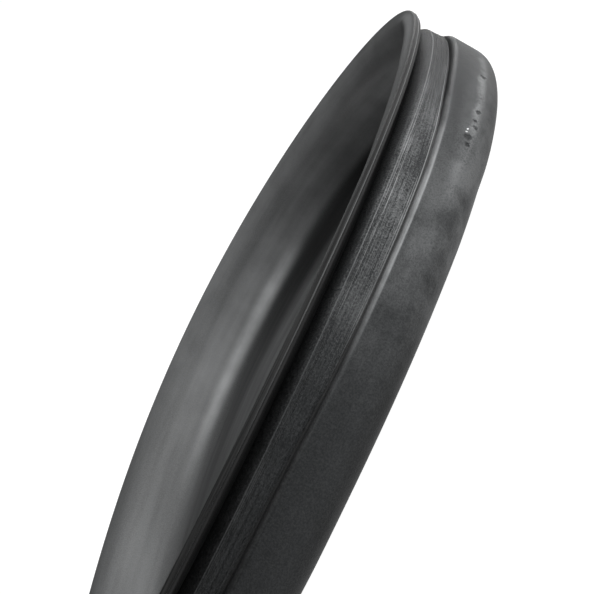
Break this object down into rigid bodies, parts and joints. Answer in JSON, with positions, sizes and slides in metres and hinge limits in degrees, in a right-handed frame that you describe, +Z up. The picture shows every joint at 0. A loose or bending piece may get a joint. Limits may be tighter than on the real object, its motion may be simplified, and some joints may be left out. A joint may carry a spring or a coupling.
{
  "type": "mortar mixing tub",
  "caption": "Round, shallow mixing tub in flexible black rubber, with a flared lip over a deep groove, a stepped outer wall, a rounded heel and a foot ring.",
  "frame": {"origin": "centre of the foot ring, on the ground the tub stands on", "axes": "+Z up along the tub's axis of revolution, out of its mouth; X and Y lie in the ground plane"},
  "size_m": [0.45, 0.45, 0.06],
  "materials": {
    "lining": "smooth moulded black rubber with a soft sheen",
    "backing": "trimmed black rubber, matt",
    "ply": "rubberised cord fabric",
    "collar": "buffed, grainy black rubber",
    "filler": "hard black rubber",
    "wire": "bronze-coated steel wire",
    "strip": "soft black gum rubber",
    "cover": "smooth black rubber with dusty smudges",
    "pad": "plain moulded black rubber"
  },
  "bodies": {
    "root": {"lining_bowl": "lining", "lip_backing": "backing", "carcass_ply": "ply", "rim_collar": "collar", "bead_filler": "filler", "bead_wires": "wire", "seam_strip": "strip", "outer_cover": "cover", "base_pad": "pad"}
  },
  "joints": []
}
